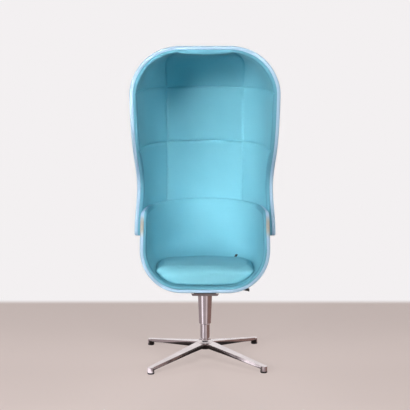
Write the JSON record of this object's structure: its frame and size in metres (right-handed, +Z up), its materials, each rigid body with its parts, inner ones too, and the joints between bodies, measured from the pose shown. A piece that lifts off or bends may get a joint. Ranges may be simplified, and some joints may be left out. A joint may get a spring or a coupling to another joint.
{
  "type": "hooded swivel lounge chair",
  "caption": "Swivel lounge chair with a padded tub seat under a tall padded hood, on a height-adjustable column and a four-armed cast base.",
  "frame": {"origin": "on the floor, under the axis of the column", "axes": "+Z up along the column; the sitter faces -Y; +X is the sitter's left, where the height lever is"},
  "size_m": [0.6268, 0.6, 1.3997],
  "materials": {
    "shell_fabric": "fine woven wool upholstery, light blue",
    "pad_fabric": "fine woven wool upholstery, teal blue",
    "black_webbing": "black woven tape",
    "polished_aluminium": "polished die casting",
    "polished_tube": "polished steel tube",
    "chrome_rod": "hard chrome",
    "zinc_steel": "zinc plated",
    "black_steel": "black powder coat",
    "black_nylon": "black moulded nylon",
    "pale_nylon": "natural nylon",
    "black_rubber": "black rubber"
  },
  "bodies": {
    "base": {"star_base": "polished_aluminium", "glide_rear_right": "black_nylon", "glide_rear_left": "black_nylon", "glide_front_left": "black_nylon", "glide_front_right": "black_nylon", "stand_tube": "polished_tube", "guide_bush": "pale_nylon", "lower_washer": "zinc_steel", "thrust_washer": "pale_nylon"},
    "rod": {"piston_rod": "chrome_rod", "rod_clip": "zinc_steel", "upper_washer": "zinc_steel", "bump_buffer": "black_rubber", "piston_head": "zinc_steel", "piston_seal": "black_rubber", "piston_nut": "zinc_steel"},
    "seat": {"lift_tube": "black_steel", "lift_gland": "black_nylon", "cover_sleeve": "polished_aluminium", "mount_plate": "polished_aluminium", "plate_screws": "zinc_steel", "lift_housing": "black_steel", "seat_bolts": "zinc_steel", "seat_tnuts": "zinc_steel", "lever_pin": "zinc_steel", "tub_shell": "shell_fabric", "tub_liner": "pad_fabric", "hook_tapes": "black_webbing", "seat_cushion": "pad_fabric", "cushion_tab": "black_webbing", "hood_shell": "shell_fabric", "hood_liner": "pad_fabric", "hood_spacers": "black_rubber", "hood_bolts": "zinc_steel", "hood_inserts": "zinc_steel"},
    "lever": {"lever_arm": "black_steel", "lever_grip": "black_nylon"},
    "valve": {"valve_pin": "zinc_steel"}
  },
  "joints": [
    {"name": "swivel", "type": "hinge", "parent": "base", "child": "rod", "pos_m": [0, 0, 0], "axis": [0, 0, 1], "continuous": true},
    {"name": "height", "type": "slide", "parent": "rod", "child": "seat", "axis": [0, 0, 1], "range_m": [-0.065, 0]},
    {"name": "lever_pivot", "type": "hinge", "parent": "seat", "child": "lever", "pos_m": [0.022, 0, 0.333], "axis": [0, -1, 0], "range_deg": [0, 6], "stiffness_Nm_per_rad": 6, "springref_deg": -2.86},
    {"name": "valve_press", "type": "slide", "parent": "seat", "child": "valve", "axis": [0, 0, -1], "range_m": [0, 0.00231]}
  ],
  "couplings": [
    {"joint": "valve_press", "follows": "lever_pivot", "m_per_rad": 0.022}
  ]
}
